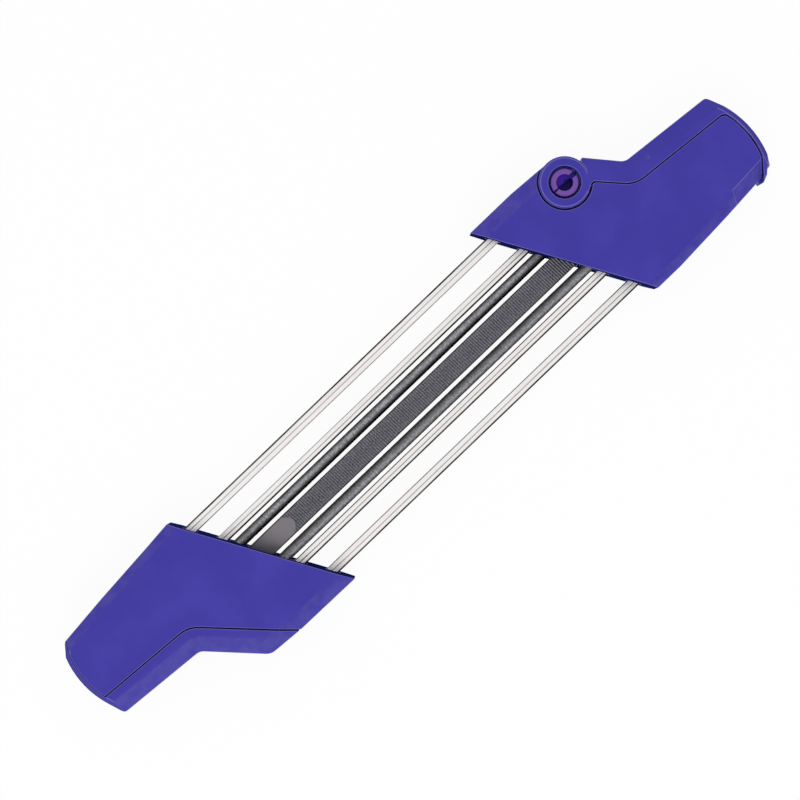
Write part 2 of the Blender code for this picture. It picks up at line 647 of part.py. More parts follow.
def release_cover(parent):
    """The hinged cover: two ears, a channel-shaped neck and back, an end band and a hook."""
    over = HALF_THICKNESS + OVERRUN
    cover = slab("release_cover", cover_corners(), HALF_THICKNESS)

    outer_turn = Vector((SHOULDER_X, SHOULDER_Y))
    bend = Vector((NECK_BEND_X, NECK_BEND_Y))
    along = (bend - outer_turn).normalized()
    inward = Vector((along.y, -along.x)) * COVER_BACK
    start = outer_turn + inward + along * (COVER_BACK + SEAM_GAP)
    grip_slope = (GRIP_END_Y - NECK_BEND_Y) / (GRIP_END_X - NECK_BEND_X)
    band_x = SEAM_END_X - BAND_THICKNESS
    back_end = GRIP_END_Y - COVER_BACK
    back_bend = crossing(start, along, Vector((band_x, back_end)), Vector((1.0, grip_slope)))
    low = SEAM_END_Y - OVERRUN
    hollow = [(start.x, start.y, 0.0, 0.0), (back_bend.x, back_bend.y, NECK_BEND_FILLET, 0.0),
              (band_x, back_end, WALL, 0.0), (band_x, low, 0.0, 0.0), (SEAM_BEND_X, low, 0.0, 0.0),
              (BUMP_X + SWEEP_GAP * 2, BUMP_Y + SWEEP_GAP, 0.0, 0.0)]
    cut(cover, prism("hollow", hollow, -CAVITY_HALF, CAVITY_HALF))

    inside, outside, inward_unit = neck_lines()
    low_root = outside + inward_unit * TOP_CHAMFER
    edge = HALF_THICKNESS - CHAMFER_DEPTH
    shoulder = [(PIVOT_X + PIN_RADIUS, PIVOT_Y), (PIVOT_X + KNUCKLE_RADIUS, outside.y),
                (outside.x, outside.y), (low_root.x, low_root.y)]
    join(cover, prism("shoulder", shoulder, -edge, edge))
    clear = KNUCKLE_RADIUS + SEAM_GAP
    cut(cover, turned("knuckle clearance", PIVOT, [(clear, -EAR_INNER_Z), (clear, EAR_INNER_Z)]))
    seam = (Vector((SEAM_BEND_X, SEAM_BEND_Y)), Vector((SEAM_END_X, SEAM_END_Y)))
    back = (Vector((NECK_BEND_X, NECK_BEND_Y)), Vector((GRIP_END_X, GRIP_END_Y)))
    for sign in (1, -1):
        levels = [sign * HALF_THICKNESS, sign * (HALF_THICKNESS - EAR_RIM), sign * EAR_INNER_Z]
        radii = [EAR_RADIUS - EAR_RIM, EAR_RADIUS, EAR_RADIUS]
        profile = sorted(zip(radii, levels), key=lambda item: item[1])
        join(cover, turned("ear", PIVOT, profile))
        low_z, high_z = sorted((sign * LEG_INNER_Z, sign * (LEG_INNER_Z + LEG_THICKNESS)))
        join(cover, prism("push leg", leg_corners(), low_z, high_z))
        low_z, high_z = sorted((sign * INNER_RIB_Z, sign * (INNER_RIB_Z + INNER_RIB_THICKNESS)))
        join(cover, prism("inner rib", rib_corners(*seam, *back), low_z, high_z))
    cut(cover, turned("pin bore", PIVOT, [(BORE_RADIUS, -over), (BORE_RADIUS, over)]))
    for sign in (1, -1):
        ends = sorted((sign * over, sign * (HALF_THICKNESS - COUNTERBORE_DEPTH)))
        cut(cover, turned("counterbore", PIVOT, [(COUNTERBORE_RADIUS, ends[0]), (COUNTERBORE_RADIUS, ends[1])]))
    mark = [(EJECTOR_RADIUS, HALF_THICKNESS - EJECTOR_DEPTH), (EJECTOR_RADIUS, over)]
    cut(cover, turned("ejector mark", (EJECTOR_X, EJECTOR_Y), mark, 12))
    cover.data.transform(Matrix.Translation((-PIVOT_X, -PIVOT_Y, 0.0)))
    return finish(cover, "release_cover", parent, BLUE)


def rib_corners(seam_bend, seam_end, back_bend, back_end):
    """A long rib under a cover's back that stands past the straight seam into the body and shades the seam."""
    run = INNER_RIB_START_X - seam_bend.x
    slope = (seam_end.y - seam_bend.y) / (seam_end.x - seam_bend.x)
    start_y = seam_bend.y + slope * run
    root = COVER_BACK - SEAM_GAP
    back_slope = (back_end.y - back_bend.y) / (back_end.x - back_bend.x)
    top_x = INNER_RIB_START_X + OVERRUN
    return [(INNER_RIB_START_X, start_y - INNER_RIB_DROP), (INNER_RIB_START_X, start_y + SEAM_GAP),
            (top_x, back_bend.y - root + back_slope * (top_x - back_bend.x)),
            (back_end.x - END_CHAMFER, back_end.y - root), (seam_end.x, seam_end.y + SEAM_GAP),
            (seam_end.x, seam_end.y - INNER_RIB_DROP)]


def leg_corners():
    """A leg under the cover's bend whose tip stands against the clamp when the cover is shut."""
    tip_x = CLAMP_REAR_X + PART_GAP
    root = Vector((NECK_BEND_X, NECK_BEND_Y))
    high = PIVOT_Y - LEG_REACH
    return [(tip_x, high, 0.0, 0.0), (root.x - 2 * COVER_BACK - WALL, root.y - OVERRUN, 0.0, 0.0),
            (root.x - 2 * COVER_BACK, root.y + COVER_BACK / 2, 0.0, 0.0),
            (root.x + WALL, root.y - COVER_BACK / 2, 0.0, 0.0),
            (SEAM_BEND_X, CLAMP_SHELF_Y + 2 * EAR_RIM, 0.0, 0.0),
            (tip_x + 2 * COVER_BACK, CLAMP_SHELF_Y + PART_GAP, 0.0, 0.0)]


def hinge_pin(parent):
    """The hollow dark pin through both ears and the knuckle: two slotted heads on a thinner waist."""
    end = HALF_THICKNESS - PIN_RECESS
    rim = EAR_RIM / 2
    head = [(PIN_WAIST, EAR_INNER_Z), (PIN_RADIUS, EAR_INNER_Z), (PIN_RADIUS, end - rim), (PIN_RADIUS - rim, end)]
    profile = [(radius, -z) for radius, z in reversed(head)] + head
    pin = turned("hinge_pin", PIVOT, profile)
    over = HALF_THICKNESS + OVERRUN
    middle = (PIN_BORE_RADIUS + PIN_RADIUS) / 2
    half_disc = [Vector(corner[:2]) for corner in arc(PIVOT, middle, math.pi, 0.0, 12)]
    for sign in (1, -1):
        hole = sorted((sign * PIN_WEB / 2, sign * over))
        cut(pin, turned("pin hole", PIVOT, [(PIN_BORE_RADIUS, hole[0]), (PIN_BORE_RADIUS, hole[1])], 24))
        step = sorted((0.0, sign * (end - PIN_STEP_DEPTH)))
        join(pin, stacked("pin step", [(half_disc, step[0]), (half_disc, step[1])]))
        low_z, high_z = sorted((sign * (end - PIN_SLOT_DEPTH), sign * over))
        for way, width in ((1, PIN_WIDE_SLOT), (-1, PIN_NARROW_SLOT)):
            near, far = sorted((PIVOT_X, PIVOT_X + way * (PIN_RADIUS + PART_GAP)))
            cut(pin, box("pin slot", (near, PIVOT_Y - width / 2, low_z), (far, PIVOT_Y + width / 2, high_z)))
    return finish(pin, "hinge_pin", parent, PIN_BLACK)


def crossed_pockets(x, low_y, high_y, half):
    """Four three-sided pockets cut from the rear face at x, which leave thin ribs in an X."""
    middle = (low_y + high_y) / 2
    rise = (high_y - low_y) / 2 - RIB
    reach = half - RIB
    cutters = []
    for dy, dz in ((1, 0), (-1, 0), (0, 1), (0, -1)):
        if dy:
            tips = [(middle + dy * RIB, 0.0), (middle + dy * rise, reach - RIB), (middle + dy * rise, -reach + RIB)]
        else:
            tips = [(middle, dz * RIB), (middle + rise - RIB, dz * reach), (middle - rise + RIB, dz * reach)]
        pocket = prism("pocket", tips, x - POCKET_DEPTH, x + OVERRUN)
        pocket.data.transform(Matrix(((0, 0, 1, 0), (1, 0, 0, 0), (0, 1, 0, 0), (0, 0, 0, 1))))
        cutters.append(pocket)
    return cutters


def file_clamp(parent):
    """The black slide under the hinge: file seats in front, X-shaped ribs behind, a step and a flat foot."""
    half = CAVITY_HALF - PART_GAP
    front = BAY_FRONT_X + PART_GAP
    top = BAY_TOP - PART_GAP
    neck_x = PIVOT_X - PIN_RADIUS - PART_GAP
    low_top = min(PIVOT_Y - RECESS_RADIUS - SWEEP_GAP, top)
    floor = BAY_FLOOR_Y + PART_GAP
    side = [(front, floor), (front, top), (neck_x - CLAMP_TRAVEL, top), (neck_x, low_top),
            (CLAMP_REAR_X, low_top), (CLAMP_REAR_X, CLAMP_SHELF_Y), (CLAMP_STEP_X, CLAMP_SHELF_Y),
            (CLAMP_STEP_X, floor + CLAMP_FOOT_DEPTH), (CLAMP_FOOT_X, floor + CLAMP_FOOT_DEPTH),
            (CLAMP_FOOT_X, floor)]
    clamp = prism("file_clamp", side, -half, half)
    cut(clamp, *file_end_sockets(front, SOCKET_DEPTH, 1))
    cut(clamp, *crossed_pockets(CLAMP_REAR_X, CLAMP_SHELF_Y, low_top, half))
    arch_top = CLAMP_SHELF_Y - RIB
    arch_low = floor + CLAMP_FOOT_DEPTH
    for sign in (1, -1):
        inner, outer = sorted((sign * RIB / 2, sign * (half - RIB)))
        low = (CLAMP_STEP_X - POCKET_DEPTH, arch_low, inner)
        high = (CLAMP_STEP_X + OVERRUN, arch_top, outer)
        cut(clamp, box("arch", low, high))
    return finish(clamp, "file_clamp", parent, BLACK)


def fixed_corners():
    """Full outline of the fixed handle, clockwise from the tip of its slanted face."""
    top = HANDLE_HALF_WIDTH
    radius = FIXED_ARC_RADIUS
    centre = (END_ARC_X, FIXED_ARC_Y)
    corners = [(slant_x(top), top, 0.0, TOP_CHAMFER), (FIXED_SEAM_TOP_X, top - PART_GAP, 0.0, TOP_CHAMFER),
               (FIXED_NOSE_X, FIXED_NOSE_Y, FIXED_NOSE_FILLET, TOP_CHAMFER),
               (FIXED_BEND_X, FIXED_BEND_Y, NECK_BEND_FILLET, TOP_CHAMFER),
               (FIXED_GRIP_END_X, FIXED_GRIP_END_Y, GRIP_END_FILLET, END_CHAMFER)]
    first = math.asin((FIXED_GRIP_END_Y - TOP_CHAMFER - END_CHAMFER / 2 - FIXED_ARC_Y) / radius)
    low_y = -HANDLE_HALF_WIDTH + 2 * BOTTOM_END_RISE
    last = math.asin((low_y + BOTTOM_CHAMFER + END_CHAMFER / 2 - FIXED_ARC_Y) / radius)
    corners += arc(centre, radius, first, 0.0, 5, END_CHAMFER)
    corners += arc(centre, radius, 0.0, last, 5, END_CHAMFER)[1:]
    corners += [(FIXED_GRIP_END_X - GRIP_END_FILLET, low_y, GRIP_END_FILLET, BOTTOM_CHAMFER),
                (BOTTOM_MID_X, low_y - BOTTOM_MID_DROP, 0.0, BOTTOM_CHAMFER),
                (BOTTOM_KNEE_X, BOTTOM_KNEE_RISE - top, 0.0, BOTTOM_CHAMFER), (slant_x(-top), -top, 0.0, 0.0)]
    return corners


def fixed_seam(gap):
    """The seam of the fixed handle along the grip and down its end; gap moves it towards the cover."""
    bend = Vector((FIXED_SEAM_BEND_X, FIXED_SEAM_BEND_Y))
    top = Vector((FIXED_SEAM_TOP_X, HANDLE_HALF_WIDTH))
    start = top + (top - bend).normalized() * OVERRUN
    corner = fixed_seam_corner(gap)
    centre = (END_ARC_X, FIXED_ARC_Y)
    band = FIXED_ARC_RADIUS - FIXED_BAND + min(gap, PART_GAP)
    path = [(start.x + gap, start.y + gap, 0.0, 0.0), (bend.x + gap / 2, bend.y + gap, SEAM_BEND_FILLET, 0.0),
            (corner.x, corner.y, EAR_RIM, 0.0)]
    path += arc(centre, band, math.asin((corner.y - FIXED_ARC_Y) / band) / 2, FIXED_BAND_END_ANGLE, 12)
    out = on_circle(centre, FIXED_ARC_RADIUS + OVERRUN, FIXED_BAND_END_ANGLE)
    return path + [(out.x, out.y, 0.0, 0.0)]


def fixed_seam_corner(gap):
    """Where the straight seam of the fixed handle meets the band round its end."""
    y = FIXED_SEAM_END_Y + gap
    band = FIXED_ARC_RADIUS - FIXED_BAND + min(gap, PART_GAP)
    return Vector((END_ARC_X + math.sqrt(band ** 2 - (y - FIXED_ARC_Y) ** 2), y))


def fixed_handle(parent):
    """The handle without a hinge: a body, its pressed-in cover and the black seat for the file ends."""
    over = HALF_THICKNESS + OVERRUN
    top = HANDLE_HALF_WIDTH
    far_x = FIXED_REACH + 2 * OVERRUN
    body = slab("fixed_handle_body", fixed_corners(), HALF_THICKNESS)
    cut(body, prism("cover zone", fixed_seam(0.0) + [(far_x, -top), (far_x, top + 2 * OVERRUN)], -over, over))
    half = CAVITY_HALF
    bay = [(BAY_FRONT_X, BAY_FLOOR_Y), (BAY_FRONT_X, BAY_HALF_HEIGHT), (CLAMP_REAR_X, BAY_HALF_HEIGHT),
           (PIVOT_X, top), (CLAMP_REAR_X + 2 * OVERRUN, top), (CHANNEL_START_X, SEAM_BEND_Y),
           (CHANNEL_START_X, BAY_FLOOR_Y)]
    cut(body, prism("bay", bay, -half, half))
    floor = channel_floor(CHANNEL_START_X) + WALL
    end = FIXED_GRIP_END_X - WALL
    channel = [(CHANNEL_START_X, floor, WALL, 0.0), (CHANNEL_START_X, top, 0.0, 0.0), (end, top, 0.0, 0.0),
               (end, floor + 2 * WALL, WALL, 0.0), (end - OVERRUN, floor + WALL, WALL, 0.0)]
    cut(body, prism("grip channel", channel, -half, half))
    corner = fixed_seam_corner(0.0)
    pocket_end = corner.x - EAR_RIM
    pocket = [(end - WALL, corner.y - FIXED_RIB_POCKET), (end - WALL, top), (pocket_end, top),
              (pocket_end, corner.y - FIXED_RIB_POCKET)]
    cut(body, prism("rib pocket", pocket, -half, half))
    cut(body, *bar_sockets(-1))
    finish(body, "fixed_handle_body", parent, BLUE)

    cover = slab("fixed_handle_cover", fixed_corners(), HALF_THICKNESS)
    low = -HANDLE_HALF_WIDTH - OVERRUN
    path = fixed_seam(SEAM_GAP)
    left = path[0][0] - 2 * HANDLE_HALF_WIDTH
    zone = path + [(far_x, low), (left, low), (left, path[0][1])]
    cut(cover, prism("body zone", zone, -over, over))
    nose = Vector((FIXED_NOSE_X, FIXED_NOSE_Y))
    bend = Vector((FIXED_BEND_X, FIXED_BEND_Y))
    along = (bend - nose).normalized()
    inward = Vector((along.y, -along.x)) * COVER_BACK
    start = nose + inward + along * COVER_BACK
    end_x = FIXED_GRIP_END_X - WALL
    grip_slope = (FIXED_GRIP_END_Y - FIXED_BEND_Y) / (FIXED_GRIP_END_X - FIXED_BEND_X)
    back_end = FIXED_GRIP_END_Y - COVER_BACK
    back_bend = crossing(start, along, Vector((end_x, back_end)), Vector((1.0, grip_slope)))
    hollow = [(start.x - WALL, start.y, 0.0, 0.0), (start.x, start.y, 0.0, 0.0), (back_bend.x, back_bend.y),
              (end_x, back_end, WALL, 0.0), (end_x, FIXED_SEAM_END_Y - OVERRUN), (SEAM_BEND_X, -OVERRUN),
              (start.x - WALL, start.y - 2 * OVERRUN)]
    cut(cover, prism("hollow", hollow, -half, half))
    seam_bend = Vector((FIXED_SEAM_BEND_X, FIXED_SEAM_BEND_Y))
    seam_end = Vector((pocket_end - PART_GAP, corner.y))
    rib = rib_corners(seam_bend, seam_end, bend, Vector((FIXED_GRIP_END_X, FIXED_GRIP_END_Y)))
    for sign in (1, -1):
        ends = sorted((sign * INNER_RIB_Z, sign * (INNER_RIB_Z + INNER_RIB_THICKNESS)))
        join(cover, prism("inner rib", rib, *ends))
    finish(cover, "fixed_handle_cover", parent, BLUE)

    inner = half - PART_GAP
    front = BAY_FRONT_X + PART_GAP
    floor_y = BAY_FLOOR_Y + PART_GAP
    seat_top = BAY_HALF_HEIGHT - PART_GAP
    side = [(front, floor_y), (front, seat_top), (FIXED_SEAT_X, seat_top), (FIXED_SEAT_X, floor_y + OVERRUN),
            (CLAMP_STEP_X, floor_y + OVERRUN), (CLAMP_STEP_X, floor_y)]
    seat = prism("fixed_file_seat", side, -inner, inner)
    cut(seat, *file_end_sockets(front, SOCKET_DEPTH, -1))
    finish(seat, "fixed_file_seat", parent, BLACK)


def main():
    for obj in list(bpy.data.objects):
        bpy.data.objects.remove(obj, do_unlink=True)
    middle = frame_empty("tool_frame", (-ROW_SHIFT, 0.0, HALF_THICKNESS))
    release = frame_empty("release_handle_frame", (EXPOSED_LENGTH / 2, 0.0, 0.0), parent=middle)
    fixed = frame_empty("fixed_handle_frame", (-EXPOSED_LENGTH / 2, 0.0, 0.0), math.pi, parent=middle)
    hinge = frame_empty("cover_hinge_axis", (PIVOT_X, PIVOT_Y, 0.0), parent=release)
    add_bars(middle)
    add_files(middle)
    release_body(release)
    release_cover(hinge)
    hinge_pin(release)
    file_clamp(release)
    fixed_handle(fixed)


main()
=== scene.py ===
import math

import bpy
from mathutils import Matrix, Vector


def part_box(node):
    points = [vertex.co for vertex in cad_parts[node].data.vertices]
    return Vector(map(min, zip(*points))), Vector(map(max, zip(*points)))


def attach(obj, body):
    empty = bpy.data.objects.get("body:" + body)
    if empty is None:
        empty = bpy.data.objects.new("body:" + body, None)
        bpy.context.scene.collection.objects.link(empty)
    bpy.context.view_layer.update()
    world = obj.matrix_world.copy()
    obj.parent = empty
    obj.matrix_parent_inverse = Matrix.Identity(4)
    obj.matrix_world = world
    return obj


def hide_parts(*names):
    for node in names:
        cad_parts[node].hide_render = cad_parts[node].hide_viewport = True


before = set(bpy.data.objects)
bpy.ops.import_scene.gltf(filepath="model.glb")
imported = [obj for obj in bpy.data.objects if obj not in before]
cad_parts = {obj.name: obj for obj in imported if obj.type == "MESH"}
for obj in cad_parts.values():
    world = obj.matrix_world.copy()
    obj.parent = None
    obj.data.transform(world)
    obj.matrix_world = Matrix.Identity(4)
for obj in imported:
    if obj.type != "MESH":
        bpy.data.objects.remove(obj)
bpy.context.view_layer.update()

# The fixed handle is a violet-blue nylon moulding in two parts: a body that the bars are moulded into, and
# an insert that is pressed into its bay. The faces have a fine spark-eroded grain and faint lighter clouds
# from the melt. The chamfers are painted a lighter blue, in patches on the long ones, which is painted light;
# the slightly rounded edges carry a pale painted highlight, and the slanted face that the bars leave is
# painted a deep blue, which is painted shade.
MM = 0.001
BLUE_DEEP = (0.043, 0.034, 0.327, 1.0)
BLUE_CLOUD = (0.053, 0.042, 0.362, 1.0)
BLUE_PAINTED_LIGHT = (0.065, 0.056, 0.335, 1.0)
BLUE_ROUGHNESS = 0.46
BLUE_ROUGHNESS_SPREAD = 0.1
BLUE_SHINE = 0.16
NO_SHINE = 0.0
BLUE_EDGE = 0.24 * MM
EDGE_STEPS = 2
EDGE_HIGHLIGHT_BLUE = (0.142, 0.123, 0.425, 1.0)
GRAIN_SIZE = 0.35 * MM
GRAIN_DEPTH = 0.012 * MM
CLOUD_SIZE = 16.0 * MM
CLOUD_RANGE = (0.35, 0.75)
RUB_SIZE = 5.0 * MM
LIGHT_PATCH_RANGE = (0.25, 0.7)
SLANT_SHADE_BLUE = (0.008, 0.014, 0.105, 1.0)
INNER_ROUGHNESS = 0.6
FLAT_ANGLE = math.radians(0.5)
SMOOTH_ANGLE = math.radians(40.0)
EDGE_ANGLE = math.radians(38.0)
SLANT = math.radians(30.0)
SLANTED_FACING = 0.97
STEEPEST_RISE = 0.5
LONG_SLOPE_RISE = 0.75
FLATTEST_RISE = 0.97


class Signal:
    """The output of a shader node; a sum or product with it adds a Math node."""

    def __init__(self, finish, socket):
        self.finish = finish
        self.socket = socket

    def math(self, operation, *others):
        values = dict(enumerate((self,) + others))
        return self.finish.node("ShaderNodeMath", {"operation": operation}, values)

    def __add__(self, other):
        return self.math("ADD", other)

    def __sub__(self, other):
        return self.math("SUBTRACT", other)

    def __mul__(self, other):
        return self.math("MULTIPLY", other)

    def __truediv__(self, other):
        return self.math("DIVIDE", other)

    def __rsub__(self, other):
        return self.finish.node("ShaderNodeMath", {"operation": "SUBTRACT"}, {0: other, 1: self})

    __radd__ = __add__

    def between(self, low, high):
        """0 below low, 1 above high, and smooth in between."""
        settings = {"interpolation_type": "SMOOTHSTEP"}
        sockets = {"Value": self, "From Min": low, "From Max": high}
        return self.finish.node("ShaderNodeMapRange", settings, sockets)


class Nodes:
    """A node tree; a new node takes its settings first and then its socket values or links."""

    def __init__(self, tree):
        self.tree = tree

    def node(self, kind, settings=None, sockets=None, output=0):
        made = self.tree.nodes.new(kind)
        for name, value in (settings or {}).items():
            setattr(made, name, value)
        for name, value in (sockets or {}).items():
            self.join(made.inputs[name], value)
        return Signal(self, made.outputs[output])

    def join(self, socket, value):
        if isinstance(value, Signal):
            self.tree.links.new(value.socket, socket)
        else:
            socket.default_value = value

    def seen_directly(self):
        """1 for the camera's rays, straight, off a gloss or through a clear piece, and 0 for all others."""
        rays = self.node("ShaderNodeLightPath").socket.node.outputs
        names = ("Is Camera Ray", "Is Glossy Ray", "Is Transmission Ray")
        return sum(Signal(self, rays[name]) for name in names).math("MINIMUM", 1.0)


class Finish(Nodes):
    """A material that is built from a Principled shader and the nodes that feed it."""

    def __init__(self, name, colour, roughness, metallic=0.0):
        self.material = bpy.data.materials.new(name)
        self.material.use_nodes = True
        super().__init__(self.material.node_tree)
        self.shader = self.tree.nodes["Principled BSDF"]
        self.feed("Base Color", colour)
        self.feed("Roughness", roughness)
        self.feed("Metallic", metallic)

    def feed(self, name, value):
        self.join(self.shader.inputs[name], value)

    def place(self):
        """The point on the object, in metres in the row frame."""
        return self.node("ShaderNodeTexCoord", output="Object")

    def along(self, stretch):
        """The point on the object with each axis scaled."""
        return self.node("ShaderNodeVectorMath", {"operation": "MULTIPLY"}, {0: self.place(), 1: stretch})

    def axes(self):
        """X, Y and Z of the point as three signals."""
        split = self.node("ShaderNodeSeparateXYZ", sockets={0: self.place()})
        return [Signal(self, socket) for socket in split.socket.node.outputs]

    def noise(self, size, layers=2, stretch=None):
        """Soft noise from 0 to 1 whose features are about as wide as size, with finer ones in each layer."""
        where = self.along(stretch) if stretch else self.place()
        return self.node("ShaderNodeTexNoise", sockets={"Vector": where, "Scale": 1 / size, "Detail": layers})

    def blend(self, factor, low, high):
        return self.node("ShaderNodeMix", {"data_type": "RGBA"}, {0: factor, 6: low, 7: high}, output=2)

    def bump(self, height, depth, strength=1.0):
        sockets = {"Height": height, "Distance": depth, "Strength": strength}
        self.feed("Normal", self.node("ShaderNodeBump", sockets=sockets))


def softened(node, edge, finish, body, edge_finish=None):
    """A copy of a CAD node that stands in for it, with edges rounded by the width edge, in edge_finish."""
    bpy.ops.object.select_all(action="DESELECT")
    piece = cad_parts[node].copy()
    piece.data = piece.data.copy()
    piece.parent = None
    piece.name = node + "_moulded"
    bpy.context.collection.objects.link(piece)
    bpy.context.view_layer.objects.active = piece
    piece.select_set(True)
    bpy.ops.object.mode_set(mode="EDIT")
    bpy.ops.mesh.select_all(action="SELECT")
    bpy.ops.mesh.remove_doubles(threshold=edge / 2)
    bpy.ops.mesh.dissolve_limited(angle_limit=FLAT_ANGLE)
    bpy.ops.object.mode_set(mode="OBJECT")
    piece.data.materials.clear()
    piece.data.materials.append(finish.material)
    rounding = piece.modifiers.new("rounded edges", "BEVEL")
    rounding.width = edge
    rounding.segments = EDGE_STEPS
    rounding.limit_method = "ANGLE"
    rounding.angle_limit = EDGE_ANGLE
    rounding.use_clamp_overlap = False
    if edge_finish:
        piece.data.materials.append(edge_finish.material)
        rounding.material = 1
    bpy.ops.object.modifier_apply(modifier=rounding.name)
    bpy.ops.object.shade_smooth_by_angle(angle=SMOOTH_ANGLE)
    flatness = piece.modifiers.new("flat faces", "WEIGHTED_NORMAL")
    flatness.keep_sharp = True
    bpy.ops.object.modifier_apply(modifier=flatness.name)
    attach(piece, body)
    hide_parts(node)
    return piece


blue = Finish("violet blue nylon", BLUE_DEEP, BLUE_ROUGHNESS)
clouds = blue.noise(CLOUD_SIZE, layers=4).between(*CLOUD_RANGE)
rub = blue.noise(RUB_SIZE, layers=5)
blue.feed("Base Color", blue.blend(clouds, BLUE_DEEP, BLUE_CLOUD))
blue.feed("Roughness", BLUE_ROUGHNESS - BLUE_ROUGHNESS_SPREAD / 2 + rub * BLUE_ROUGHNESS_SPREAD)
blue.bump(blue.noise(GRAIN_SIZE, layers=3), GRAIN_DEPTH)
blue.feed("Specular IOR Level", BLUE_SHINE)

# The slanted face that the bars leave gets a deep blue, which is painted shade.
slant_painted_shade = Finish("painted shade on slanted face", SLANT_SHADE_BLUE, INNER_ROUGHNESS)
slant_painted_shade.bump(slant_painted_shade.noise(GRAIN_SIZE, layers=3), GRAIN_DEPTH)
slant_painted_shade.feed("Specular IOR Level", NO_SHINE)

# The rounded edges get a pale blue, which is a painted highlight.
edge_painted_highlight = Finish("painted highlight on blue edge", EDGE_HIGHLIGHT_BLUE, BLUE_ROUGHNESS)
edge_painted_highlight.feed("Specular IOR Level", BLUE_SHINE)

# The long chamfers are painted a lighter blue in patches, which is painted light.
slope_painted_light = Finish("blue slope with painted light", BLUE_PAINTED_LIGHT, BLUE_ROUGHNESS)
light_patches = slope_painted_light.noise(RUB_SIZE, layers=5).between(*LIGHT_PATCH_RANGE)
slope_painted_light.feed("Base Color", slope_painted_light.blend(light_patches, BLUE_DEEP, BLUE_PAINTED_LIGHT))
slope_painted_light.bump(slope_painted_light.noise(GRAIN_SIZE, layers=3), GRAIN_DEPTH)
slope_painted_light.feed("Specular IOR Level", BLUE_SHINE)

# The steep end slopes are matt and painted the same lighter blue, which is painted light.
matt_end_painted_light = Finish("matt blue end slope with painted light", BLUE_PAINTED_LIGHT, BLUE_ROUGHNESS)
matt_end_painted_light.feed("Specular IOR Level", NO_SHINE)


def shade_slanted_face(piece, towards_rails):
    """The slanted face that the bars leave is matt and painted a deeper blue than the outside, which is
    painted shade.
    """
    piece.data.materials.append(slant_painted_shade.material)
    for face in piece.data.polygons:
        if face.normal.dot(towards_rails) > SLANTED_FACING:
            face.material_index = len(piece.data.materials) - 1


def finish_slopes(piece, long_slopes):
    """The long chamfers get the finish long_slopes; the steep ones at the ends are matt, without glare, and
    painted a lighter blue, which is painted light.
    """
    for finish in (matt_end_painted_light, long_slopes):
        piece.data.materials.append(finish.material)
    last = len(piece.data.materials) - 1
    for face in piece.data.polygons:
        rise = abs(face.normal.z)
        if face.material_index == 0 and STEEPEST_RISE < rise < FLATTEST_RISE:
            face.material_index = last if rise > LONG_SLOPE_RISE else last - 1


fixed_body = softened("fixed_handle_body", BLUE_EDGE, blue, "frame", edge_painted_highlight)
shade_slanted_face(fixed_body, Vector((math.cos(SLANT), math.sin(SLANT), 0.0)))
fixed_insert = softened("fixed_handle_cover", BLUE_EDGE, blue, "frame", edge_painted_highlight)
finish_slopes(fixed_body, slope_painted_light)
finish_slopes(fixed_insert, slope_painted_light)

# The seat at the fixed end is a black nylon insert in that handle's bay. The clamp at the other end is a
# black nylon slide, with sockets for the files in front and thin crossed ribs behind. Both are plain satin
# mouldings, a little greyer where they have rubbed.
BLACK = (0.010, 0.010, 0.011, 1.0)
BLACK_RUBBED = (0.040, 0.039, 0.036, 1.0)
BLACK_RUB_RANGE = (0.45, 0.8)
BLACK_ROUGHNESS = 0.34
BLACK_ROUGHNESS_SPREAD = 0.16
BLACK_EDGE = 0.2 * MM

black = Finish("black nylon", BLACK, BLACK_ROUGHNESS)
ribs_rubbed = black.noise(RUB_SIZE, layers=5).between(*BLACK_RUB_RANGE)
black.feed("Base Color", black.blend(ribs_rubbed, BLACK, BLACK_RUBBED))
black.feed("Roughness", BLACK_ROUGHNESS + black.noise(RUB_SIZE, layers=3) * BLACK_ROUGHNESS_SPREAD)
black.bump(black.noise(GRAIN_SIZE), GRAIN_DEPTH)

softened("fixed_file_seat", BLACK_EDGE, black, "frame")
softened("file_clamp", BLACK_EDGE, black, "clamp")

# Four bars of bright drawn steel run between the handles: an outer rail on each side and a guide bar beside
# each round file. Their broad faces are polished, with a fine rolled line down the middle. The side faces
# that the shear cut are rougher and painted a darker, streaked steel, which is painted shade, and a nearly
# black strip of painted shade runs along one edge of each bar, broken up in places except on the upper
# guide bar.
STEEL = (0.86, 0.83, 0.82, 1.0)
STEEL_DULL = (0.74, 0.71, 0.70, 1.0)
STEEL_ROUGHNESS = 0.36
STEEL_ROUGHNESS_SPREAD = 0.14
ALL_METAL = 1.0
BAR_EDGE = 0.08 * MM
DRAW_LINE = 0.25 * MM
DRAW_LINE_DEPTH = 0.01 * MM
DRAW_LINE_RANGE = (0.3, 0.8)
DRAW_STRETCH = (0.02, 1.0, 1.0)
BAR_SIDE_SHADE = (0.66, 0.64, 0.635, 1.0)
BAR_SIDE_SHADE_DEEP = (0.34, 0.33, 0.33, 1.0)
SHEARED_ROUGHNESS = 0.45
BAR_EDGE_SHADE = (0.020, 0.019, 0.019, 1.0)
EDGE_SHADE_METALLIC = 0.8
EDGE_SHADE_ROUGHNESS = 0.4
EDGE_SHADE_ROUGHNESS_SPREAD = 0.2
EDGE_SHADE_WIDTH = 0.85 * MM
EDGE_SHADE_CORE = 0.7
EDGE_SHADE_KEPT = 0.8
EDGE_SHADE_BREAK_SIZE = 8.0 * MM
EDGE_SHADE_BREAK_RANGE = (0.7, 0.4)
SIDEWAYS_FACING = 0.2
SHEARED_FACING = 0.9

